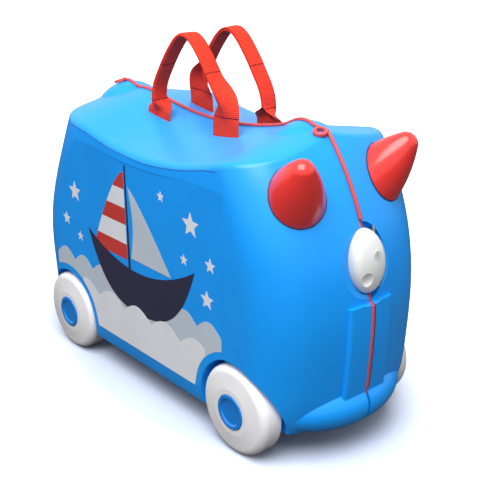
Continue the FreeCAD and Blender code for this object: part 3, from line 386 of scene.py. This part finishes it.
# %% [markdown]
# ## Webbing
# The handles are red woven straps. The weave shows as fine ribs across the strap, with dark lines of
# stitching where the folded grip starts and above each foot. A picture of cloth could be laid on it,
# but two sine waves need no file. The strap carries its own UV map, across and along, so the waves
# follow every bend.

# %% Webbing finish
WEB_WIDTH = 0.038
WEB_THICK = 0.0017
RIB_PITCH = 0.0014
YARN_PITCH = 0.0019
YARN_SHARE = 0.35
WEAVE_SHARE = 0.25
WEAVE_DEPTH = 0.00022
FUZZ = 1500.0
FUZZ_DETAIL = 4.0
WEB_DARK = (0.80, 0.030, 0.014, 1)
WEB_BRIGHT = (1.0, 0.062, 0.026, 1)
WEB_RAMP = (0.2, 0.8)
WEB_ROUGHNESS = 0.72
WEB_SHINE = 0.25
STITCH_COLOUR = (0.22, 0.008, 0.010, 1)
STITCH_HALF = 0.0007
STITCH_COUNT = 11.0
STITCH_GAP = -0.75
STITCH_SINK = 3.0


def webbing(name, length, seams):
    """Woven strap of a length, with stitching across it at given shares of the length from its middle."""
    material = bpy.data.materials.new(name)
    material.use_nodes = True
    tree = material.node_tree
    shader = tree.nodes["Principled BSDF"]
    chart = tree.nodes.new("ShaderNodeUVMap")
    chart.uv_map = "UVMap"
    axes = tree.nodes.new("ShaderNodeSeparateXYZ")
    tree.links.new(chart.outputs["UV"], axes.inputs["Vector"])
    across = axes.outputs["X"]
    along = axes.outputs["Y"]

    def math_node(operation, *values):
        node = tree.nodes.new("ShaderNodeMath")
        node.operation = operation
        for socket, value in zip(node.inputs, values):
            if isinstance(value, float):
                socket.default_value = value
            else:
                tree.links.new(value, socket)
        return node.outputs[0]

    def ripples(place, count):
        return math_node("SINE", math_node("MULTIPLY", place, 2 * math.pi * count))

    yarns = math_node("MULTIPLY", ripples(across, WEB_WIDTH / YARN_PITCH), YARN_SHARE)
    weave = math_node("ADD", ripples(along, length / RIB_PITCH), yarns)
    fuzz = noise(tree, FUZZ, FUZZ_DETAIL)
    shade = math_node("ADD", math_node("MULTIPLY", weave, WEAVE_SHARE), fuzz)
    colour = ramp(tree, shade, WEB_DARK, WEB_BRIGHT, *WEB_RAMP)
    from_middle = math_node("ABSOLUTE", math_node("SUBTRACT", along, 0.5))
    rows = [math_node("COMPARE", from_middle, seam, STITCH_HALF / length) for seam in seams]
    stitched = rows[0]
    for row in rows[1:]:
        stitched = math_node("MAXIMUM", stitched, row)
    thread = math_node("GREATER_THAN", ripples(across, STITCH_COUNT), STITCH_GAP)
    stitched = math_node("MULTIPLY", stitched, thread)
    mix = tree.nodes.new("ShaderNodeMix")
    mix.data_type = "RGBA"
    tree.links.new(stitched, mix.inputs["Factor"])
    tree.links.new(colour, mix.inputs["A"])
    mix.inputs["B"].default_value = STITCH_COLOUR
    tree.links.new(mix.outputs["Result"], shader.inputs["Base Color"])
    shader.inputs["Roughness"].default_value = WEB_ROUGHNESS
    shader.inputs["Specular IOR Level"].default_value = WEB_SHINE
    relief = math_node("SUBTRACT", weave, math_node("MULTIPLY", stitched, STITCH_SINK))
    raise_grain(tree, shader, relief, WEAVE_DEPTH)
    return material


# %% [markdown]
# ## Handles
# A handle is one flat strap, folded in half lengthwise at the grip and opened out flat at its feet,
# where it goes through a slot of the deck and hooks round a bar. It could be swept along a curve, but a
# sweep keeps one section. So a grid is laid out as the flat strap, each row is moved to its place on
# the arch, and the row is folded about its middle by an angle that grows from foot to grip. Solidify
# then gives the cloth its thickness.

# %% Path of the strap
HANDLE_MIDDLE = 0.0075
HANDLE_ASIDE = 0.028
BAR_LEVEL = 0.2665
HOOK = 0.0042
ROWS = 241
# Places along and up of the front half of the arch, from its foot to the crown.
ARCH = (
    (0.0545, 0.284), (0.0545, 0.2925), (0.0540, 0.301), (0.0520, 0.3105),
    (0.0475, 0.320), (0.0415, 0.329), (0.0350, 0.3385), (0.0290, 0.3465),
    (0.0223, 0.3545), (0.0153, 0.3618), (0.0075, 0.3673), (0.0, 0.369),
)
# Places across and up of the hook round the bar, from its loose end to the slot.
HOOK_POINTS = (
    (-HOOK, 0.2705), (-HOOK, BAR_LEVEL), (-0.7 * HOOK, BAR_LEVEL - 0.7 * HOOK), (0.0, BAR_LEVEL - HOOK),
    (0.7 * HOOK, BAR_LEVEL - 0.7 * HOOK), (HOOK, BAR_LEVEL), (0.8 * HOOK, 0.2700), (0.0, 0.2755),
)


def smooth_path(points, steps=12):
    """Points on a Catmull-Rom curve through given ones."""
    ends = [points[0] * 2 - points[1], *points, points[-1] * 2 - points[-2]]
    smooth = []
    for before, start, end, after in zip(ends, ends[1:], ends[2:], ends[3:]):
        for step in range(steps):
            t = step / steps
            smooth.append(0.5 * (
                start * 2
                + (end - before) * t
                + (before * 2 - start * 5 + end * 4 - after) * t * t
                + (start * 3 - before - end * 3 + after) * t * t * t
            ))
    return smooth + [points[-1]]


def even_path(points, count):
    """The same path as evenly spaced points, and its length."""
    reach = [0.0]
    for first, second in zip(points, points[1:]):
        reach.append(reach[-1] + (second - first).length)
    even = []
    number = 0
    for step in range(count):
        target = reach[-1] * step / (count - 1)
        while number < len(points) - 2 and reach[number + 1] < target:
            number += 1
        share = (target - reach[number]) / (reach[number + 1] - reach[number])
        even.append(points[number].lerp(points[number + 1], share))
    return even, reach[-1]


hook = [Vector((ARCH[0][0], y, z)) for y, z in HOOK_POINTS]
front_half = hook + [Vector((x, 0, z)) for x, z in ARCH]
rear_half = [Vector((-point.x, point.y, point.z)) for point in reversed(front_half[:-1])]
strap_path, strap_length = even_path(smooth_path(front_half + rear_half), ROWS)
print("strap", round(strap_length * 1000), "mm long")

# %% Fold of the strap
BEND = 0.0026
BEND_STEPS = 60
CLOSED = math.radians(92)
FRONT_FOLD = (0.288, 0.337)
REAR_FOLD = (0.2845, 0.300)


def fold_angle(point):
    """Turn of the halves of the strap; the front limb opens slowly, the rear limb close to the deck."""
    start, end = FRONT_FOLD if point.x > 0 else REAR_FOLD
    share = min(1.0, max(0.0, (point.z - start) / (end - start)))
    return CLOSED * share * share * (3 - 2 * share)


def folded_row(angle):
    """Places across the strap, outwards and inwards, when its halves are turned up by an angle."""
    half = WEB_WIDTH / 2
    places = [(0.0, 0.0)]
    for step in range(BEND_STEPS):
        reached = half * (step + 0.5) / BEND_STEPS
        lean = angle * min(1.0, reached / BEND)
        out, inwards = places[-1]
        out += math.cos(lean) * half / BEND_STEPS
        inwards += math.sin(lean) * half / BEND_STEPS
        places.append((out, inwards))
    middle = sum(inwards for _, inwards in places) / len(places)
    return places, middle


def strap_place(across, row):
    """Place of a point of the flat strap, across from -1 to 1, on the left handle."""
    point = strap_path[row]
    ahead = strap_path[min(row + 1, ROWS - 1)] - strap_path[max(row - 1, 0)]
    if point.z < ARCH[1][1]:
        outwards = Vector((1, 0, 0)) if point.x > 0 else Vector((-1, 0, 0))
    else:
        outwards = Vector((ahead.z, 0, -ahead.x)).normalized()
    places, middle = folded_row(fold_angle(point))
    out, inwards = places[round(abs(across) * (len(places) - 1))]
    out = math.copysign(out, across)
    shift = outwards * out + Vector((0, inwards - middle, 0))
    return point + shift + Vector((HANDLE_MIDDLE, -HANDLE_ASIDE, 0))


# %% Left handle
COLUMNS = 16

bpy.ops.object.select_all(action="DESELECT")
bpy.ops.mesh.primitive_grid_add(x_subdivisions=COLUMNS, y_subdivisions=ROWS - 1, size=2, calc_uvs=True)
left_strap = bpy.context.object
left_strap.name = "left_webbing_handle"
for vertex in left_strap.data.vertices:
    row = round((vertex.co.y + 1) / 2 * (ROWS - 1))
    vertex.co = strap_place(vertex.co.x, row)
thickness = left_strap.modifiers.new("thickness", "SOLIDIFY")
thickness.thickness = WEB_THICK
thickness.offset = 0
softness = left_strap.modifiers.new("softness", "SUBSURF")
softness.levels = 1
softness.render_levels = 1
apply_modifiers(left_strap)
bpy.ops.object.shade_smooth()
face_outwards(left_strap)

# %% Right handle
right_strap = left_strap.copy()
right_strap.data = left_strap.data.copy()
right_strap.name = "right_webbing_handle"
bpy.context.collection.objects.link(right_strap)
for vertex in right_strap.data.vertices:
    vertex.co.x = 2 * HANDLE_MIDDLE - vertex.co.x
    vertex.co.y = -vertex.co.y

# %% Finish of the handles
GRIP_SEAM_LEVEL = 0.3365
FOOT_SEAM_LEVEL = 0.297
SLOT_LEVEL = 0.28


def seam_share(level):
    """Distance of a line of stitching from the crown, as a share of the strap."""
    above_slot = [row for row in range(ROWS // 2) if strap_path[row].z >= SLOT_LEVEL]
    row = min(above_slot, key=lambda number: abs(strap_path[number].z - level))
    return 0.5 - row / (ROWS - 1)


seam_shares = [seam_share(GRIP_SEAM_LEVEL), seam_share(FOOT_SEAM_LEVEL)]
webbing_red = webbing("webbing_red", strap_length, seam_shares)
for side, way, strap in (("left", -1, left_strap), ("right", 1, right_strap)):
    strap.data.materials.clear()
    strap.data.materials.append(webbing_red)
    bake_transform(strap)
    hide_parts(f"{side}_handle", f"{side}_handle_feet")
    print(strap.name, len(strap.data.polygons), "faces")

# %% [markdown]
# ## Seam piping
# A raised red piping closes the seam: from catch to catch over the top, and again below each catch,
# where the ribs stand beside it. Its line could be drawn by hand, but it would miss the curved shell by
# a little. So rays are cast at the left shell from all round, in a plane close to the seam, and the
# places they hit make the line. The piping is a grid bent into a tube along that line, with rounded
# ends. Over the top it stands just high enough to clear the rims at both sides, and between the ribs it
# lies lower. A thin dark tube beside it is the shadow of the seam.

# %% Line of the seam
shell = frame["nodes"]["left_shell"]
shell_tree = BVHTree.FromPolygons(
    [shell.matrix_world @ vertex.co for vertex in shell.data.vertices],
    [tuple(face.vertices) for face in shell.data.polygons],
)
SEAM_HEART = Vector((0, -0.0018, 0.150))
SEAM_STEPS = 160
RAY_START = 0.5


def seam_line(start, end, rows):
    """Evenly spaced points on the case beside the seam, between two directions from its heart in degrees."""
    hits = []
    for step in range(SEAM_STEPS + 1):
        angle = math.radians(start + (end - start) * step / SEAM_STEPS)
        ray = Vector((math.cos(angle), 0, math.sin(angle)))
        hit = shell_tree.ray_cast(SEAM_HEART + ray * RAY_START, -ray)[0]
        hits.append(Vector((hit.x, 0, hit.z)))
    calm = [(before + hit * 2 + after) / 4 for before, hit, after in zip(hits, hits[1:], hits[2:])]
    return even_path([hits[0], *calm, hits[-1]], rows)[0]


# %% Tubes
TUBE_COLUMNS = 14


def tube(name, line, outwards, radius, material, body):
    """Tube with rounded ends along a line of points, each with its direction away from the case."""
    rows = len(line)
    bpy.ops.object.select_all(action="DESELECT")
    bpy.ops.mesh.primitive_grid_add(
        x_subdivisions=TUBE_COLUMNS, y_subdivisions=rows - 1, size=2, calc_uvs=True,
    )
    piece = bpy.context.object
    piece.name = name
    for vertex in piece.data.vertices:
        row = round((vertex.co.y + 1) / 2 * (rows - 1))
        ahead = line[min(row + 1, rows - 1)] - line[max(row - 1, 0)]
        across = ahead.cross(outwards[row]).normalized()
        to_end = min((line[row] - line[0]).length, (line[row] - line[-1]).length)
        reach = radius * math.sqrt(max(0.0, 1 - max(0.0, 1 - to_end / radius) ** 2))
        turn_angle = math.pi * (vertex.co.x + 1)
        spoke = outwards[row] * math.cos(turn_angle) + across * math.sin(turn_angle)
        vertex.co = line[row] + spoke * reach
    bpy.ops.object.shade_smooth()
    face_outwards(piece)
    dress(piece, material, body)


def tube_on_both_sides(name, line, outwards, radius, material):
    """Tube on the left half of the case and its mirror image on the right half."""
    for side, way in (("left", 1), ("right", -1)):
        mirror = Vector((1, way, 1))
        own_line = [point * mirror for point in line]
        own_outwards = [out * mirror for out in outwards]
        tube(f"{side}_{name}", own_line, own_outwards, radius, material, f"{side}_half")


# %% Piping
# Name, first and last direction in degrees, rows, radius and rise.
PIPES = (
    ("top", 19.8, 158.5, 420, 0.0019, 0.0012),
    ("front", 0.8, -20.0, 80, 0.0016, -0.0002),
    ("rear", 179.2, 201.0, 80, 0.0016, -0.0002),
)
SHADOW_RADIUS = 0.0006
SHADOW_RISE = 0.0002
SHADOW_ASIDE = 0.0021


def piping(name, line, radius, rise, aside, material):
    """Tube along a line of the seam, risen off the case and moved aside."""
    outwards = []
    for before, after in zip([line[0], *line], [*line[1:], line[-1]]):
        ahead = after - before
        across = Vector((ahead.z, 0, -ahead.x)).normalized()
        outwards.append(across if across.dot(before - SEAM_HEART) > 0 else -across)
    middle = [point + out * rise + Vector((0, aside, 0)) for point, out in zip(line, outwards)]
    tube(name, middle, outwards, radius, material, "left_half")


for name, start, end, rows, radius, rise in PIPES:
    line = seam_line(start, end, rows)
    piping(f"{name}_piping", line, radius, rise, 0.0, seal_red)
    piping(f"{name}_seam_shadow", line, SHADOW_RADIUS, SHADOW_RISE, SHADOW_ASIDE, painted_shadow_dark)

# %% [markdown]
# ## Crease under the lip
# The lip of the deck ends in a crease above the side panel, whose shade shows as a thin dark line. It
# could be cut into the shell, but it is finer than a millimetre, so a thin dark blue tube is laid there
# instead, as painted shade. It is found like the seam: at each place along the side, rays go in from the
# side at falling levels, and the first face that stands upright is just under the lip.

# %% Crease
CREASE_REAR = -0.126
CREASE_FRONT = 0.132
CREASE_LEVELS = (0.300, 0.200)
CREASE_LEAN = 0.22
CREASE_ASIDE = 0.07
CREASE_RADIUS = 0.00045
CALM_REACH = 10
BESIDE = -0.2


def side_hit(x, z):
    """Place and direction of the left side of the case, seen from the left."""
    return shell_tree.ray_cast(Vector((x, BESIDE, z)), Vector((0, 1, 0)))[:2]


def between(start, end, count):
    """Evenly spaced numbers from start to end."""
    return [start + (end - start) * number / (count - 1) for number in range(count)]


def crease_level(x):
    """Level of the first upright face under the lip."""
    for z in between(*CREASE_LEVELS, SEAM_STEPS + 1):
        hit, normal = side_hit(x, z)
        if hit is not None and hit.y < -CREASE_ASIDE and normal.z < CREASE_LEAN:
            return z
    return CREASE_LEVELS[-1]


xs = between(CREASE_REAR, CREASE_FRONT, SEAM_STEPS + 1)
levels = [crease_level(x) for x in xs]
crease = []
for number, x in enumerate(xs):
    around = levels[max(0, number - CALM_REACH):number + CALM_REACH + 1]
    crease.append(side_hit(x, sum(around) / len(around)))
line, outwards = zip(*crease)
# Painted shade: a dark blue tube in the crease under the lip.
tube_on_both_sides("panel_crease_shadow", line, outwards, CREASE_RADIUS, painted_crease_shade)

# %% [markdown]
# ## Shadow gaps of the horns
# Each horn sits on the shell with a hair of room, whose shade shows as a dark ring. A real gap would be
# thinner than the picture can show, so a thin dark tube is laid there as painted shadow. It runs along
# the outermost points of the horn that lie close to the shell, taken at even turns about the horn's own
# axis.

# %% Horn gaps
GAP_TURNS = 36
GAP_ROWS = 180
GAP_REACH = 0.0009
GAP_RADIUS = 0.0006

horn = frame["nodes"]["left_horn"]
horn_points = [horn.matrix_world @ vertex.co for vertex in horn.data.vertices]
seated = [point for point in horn_points if shell_tree.find_nearest(point)[3] < GAP_REACH]
base = sum(seated, Vector()) / len(seated)
axis = (max(horn_points, key=lambda point: (point - base).length) - base).normalized()
level = axis.cross(Vector((0, 0, 1))).normalized()
upwards = level.cross(axis)
outermost = {}
for point in seated:
    spoke = point - base
    aside = spoke.dot(level)
    above = spoke.dot(upwards)
    turn = round(math.atan2(aside, above) / (2 * math.pi) * GAP_TURNS) % GAP_TURNS
    reach = Vector((aside, above)).length
    if reach > outermost.get(turn, (0.0, None))[0]:
        outermost[turn] = (reach, point)
rim = [outermost[turn][1] for turn in sorted(outermost)]
ring = even_path(smooth_path([*rim, rim[0]]), GAP_ROWS)[0]
outwards = [shell_tree.find_nearest(point)[1] for point in ring]
# Painted shadow: a dark tube round the foot of each horn.
tube_on_both_sides("horn_gap_shadow", ring, outwards, GAP_RADIUS, painted_shadow_dark)

# %% [markdown]
# ## Printed sides
# Each side carries a print for children. Here it is a sailing boat on waves under a few stars, in grey,
# white, red and navy. A print can be painted by a material, but thin cut-outs keep crisp edges at any
# size. Each is a filled circle whose corners are moved to an outline in the panel's plane, as thin as a
# film.

# %% Print colours
def print_film(name, colour):
    """Printed film, with a finer and shallower grain than the plastic under it."""
    return plastic(name, colour, 0.38, grain=1800.0, depth=0.00001, shift=0.03)


print_grey = print_film("print_grey", (0.53, 0.60, 0.68))
print_white = print_film("print_white", (0.78, 0.80, 0.85))
print_red = print_film("print_red", (0.58, 0.040, 0.033))
print_navy = print_film("print_navy", (0.020, 0.019, 0.055))

# %% Film cut-outs
PANEL_FACE = 0.0974
FILM = 0.00012
LAYER = 0.00010
# Layers of the print, from the panel outwards.
FAR = 1
RIG = 2
BOAT = 3
NEAR = 4


def cut_out(name, outlines, layer, material):
    """One print on each side, of closed outlines (x, z) in metres, on a numbered layer over the panel."""
    parts = []
    for outline in outlines:
        bpy.ops.object.select_all(action="DESELECT")
        bpy.ops.mesh.primitive_circle_add(vertices=len(outline), fill_type="NGON")
        part = bpy.context.object
        for vertex, (x, z) in zip(part.data.vertices, outline):
            vertex.co = (x, -PANEL_FACE - LAYER * layer, z)
        parts.append(part)
    bpy.ops.object.select_all(action="DESELECT")
    for part in parts:
        part.select_set(True)
    bpy.context.view_layer.objects.active = parts[0]
    bpy.ops.object.join()
    left = bpy.context.object
    face_outwards(left)
    film = left.modifiers.new("film", "SOLIDIFY")
    film.thickness = FILM
    film.offset = 0
    left.modifiers.new("triangles", "TRIANGULATE")
    apply_modifiers(left)
    face_outwards(left)
    left.name = f"left_print_{name}"
    right = left.copy()
    right.data = left.data.copy()
    right.name = f"right_print_{name}"
    bpy.context.collection.objects.link(right)
    for vertex in right.data.vertices:
        vertex.co.y = -vertex.co.y
    right.data.flip_normals()
    dress(left, material, "left_half")
    dress(right, material, "right_half")


# %% Sea
SEA_REAR = -0.160
SEA_FRONT = 0.136
SEA_FLOOR = 0.048
SEA_LEAST = 0.003
SEA_POINTS = 120
ARCH_ROOM = 0.0575
WHEELS = (0.152, -0.139)
WHEEL_LEVEL = 0.045


def sea_floor(x):
    """Lower edge of the sea: a straight line that climbs round the wheel arches."""
    level = SEA_FLOOR
    for wheel in WHEELS:
        if abs(x - wheel) < ARCH_ROOM:
            level = max(level, WHEEL_LEVEL + math.sqrt(ARCH_ROOM ** 2 - (x - wheel) ** 2))
    return level


def sea(height, swell, length, phase):
    """Waves from one end of the panel to the other, left out where the wheel arches stand higher."""
    top = []
    for x in between(SEA_REAR, SEA_FRONT, SEA_POINTS):
        z = height + swell * abs(math.sin(math.pi * (x - SEA_REAR) / length + phase))
        if z > sea_floor(x) + SEA_LEAST:
            top.append((x, z))
    bottom = [(x, sea_floor(x)) for x, _ in top]
    return [top + bottom[::-1]]


far_waves = sea(height=0.113, swell=0.011, length=0.037, phase=0.0)
cut_out("far_waves", far_waves, FAR, print_grey)

# %% Hull and mast
HULL_MIDDLE = 0.005
HULL_REACH = 0.093
HULL_DECK = 0.137
HULL_SWEEP = 3.2
HULL_DEPTH = 0.046
HULL_ENDS = 1.02
HULL_POINTS = 40
MAST = -0.012
MAST_FOOT = 0.136
MAST_HEAD = 0.2475
MAST_THICK = 0.002
MAST_THIN = 0.0012


def hull():
    """A deck that sweeps up to both ends, over a round keel."""
    xs = between(HULL_MIDDLE - HULL_REACH, HULL_MIDDLE + HULL_REACH, HULL_POINTS)
    deck = [(x, HULL_DECK + HULL_SWEEP * x ** 2) for x in xs]
    keel = [(x, z - HULL_DEPTH * (HULL_ENDS - ((x - HULL_MIDDLE) / HULL_REACH) ** 4)) for x, z in deck]
    return [deck + keel[::-1]]


def mast():
    """A pole that gets thinner towards its head."""
    foot = [(MAST - MAST_THICK, MAST_FOOT), (MAST + MAST_THICK, MAST_FOOT)]
    head = [(MAST + MAST_THIN, MAST_HEAD), (MAST - MAST_THIN, MAST_HEAD)]
    return [foot + head]


cut_out("hull", hull(), BOAT, print_navy)
cut_out("mast", mast(), RIG, print_navy)

# %% Sails
BAND_EDGES = (0.146, 0.163, 0.184, 0.202, 0.222, 0.240)
BAND_POINTS = 14
SAIL_REACH = 0.062
SAIL_CURVE = 0.72
SAIL_TOP = MAST - 0.004
SAIL_SIDE = MAST - 0.003
JIB_FOOT = 0.150
JIB_HEAD = 0.226
JIB_POINTS = 20
JIB_REACH = 0.068
JIB_CURVE = 0.85
JIB_BELLY = 0.006
JIB_SIDE = MAST + 0.004


def sail_edge(z):
    """Curved free edge of the main sail."""
    share = (z - BAND_EDGES[0]) / (BAND_EDGES[-1] - BAND_EDGES[0])
    return SAIL_TOP - SAIL_REACH * (1 - share) ** SAIL_CURVE


def sail_band(low, high):
    """Band across the main sail, between two levels."""
    zs = between(low, high, BAND_POINTS)
    free = [(sail_edge(z), z) for z in zs]
    mast_side = [(SAIL_SIDE, z) for z in reversed(zs)]
    return free + mast_side


def jib():
    """Small sail before the mast, with a hollow rear edge."""
    zs = between(JIB_FOOT, JIB_HEAD, JIB_POINTS)
    height = JIB_HEAD - JIB_FOOT
    front = [(JIB_SIDE + JIB_REACH * ((JIB_HEAD - z) / height) ** JIB_CURVE, z) for z in zs]
    rear = [(JIB_SIDE + JIB_BELLY * math.sin(math.pi * (z - JIB_FOOT) / height), z) for z in reversed(zs)]
    return [front + rear]


bands = [sail_band(low, high) for low, high in zip(BAND_EDGES, BAND_EDGES[1:])]
cut_out("red_bands", bands[0::2], RIG, print_red)
cut_out("white_bands", bands[1::2], RIG, print_white)
cut_out("jib", jib(), RIG, print_grey)

# %% Sea before the boat
near_waves = sea(height=0.086, swell=0.012, length=0.049, phase=0.9)
cut_out("near_waves", near_waves, NEAR, print_white)

# %% Stars
# Place along and up, and reach, of each star.
STARS = (
    (-0.112, 0.196, 0.012), (-0.134, 0.160, 0.008), (-0.107, 0.146, 0.006), (0.094, 0.214, 0.013),
    (0.122, 0.182, 0.008), (0.082, 0.176, 0.006), (0.116, 0.146, 0.010), (0.048, 0.230, 0.006),
)
STAR_WAIST = 0.45


def star(x, z, reach):
    """Star with five points."""
    points = []
    for number in range(10):
        radius = reach if number % 2 == 0 else reach * STAR_WAIST
        turn_angle = math.pi / 2 + math.pi * number / 5
        points.append((x + radius * math.cos(turn_angle), z + radius * math.sin(turn_angle)))
    return points


cut_out("stars", [star(*place) for place in STARS], FAR, print_white)
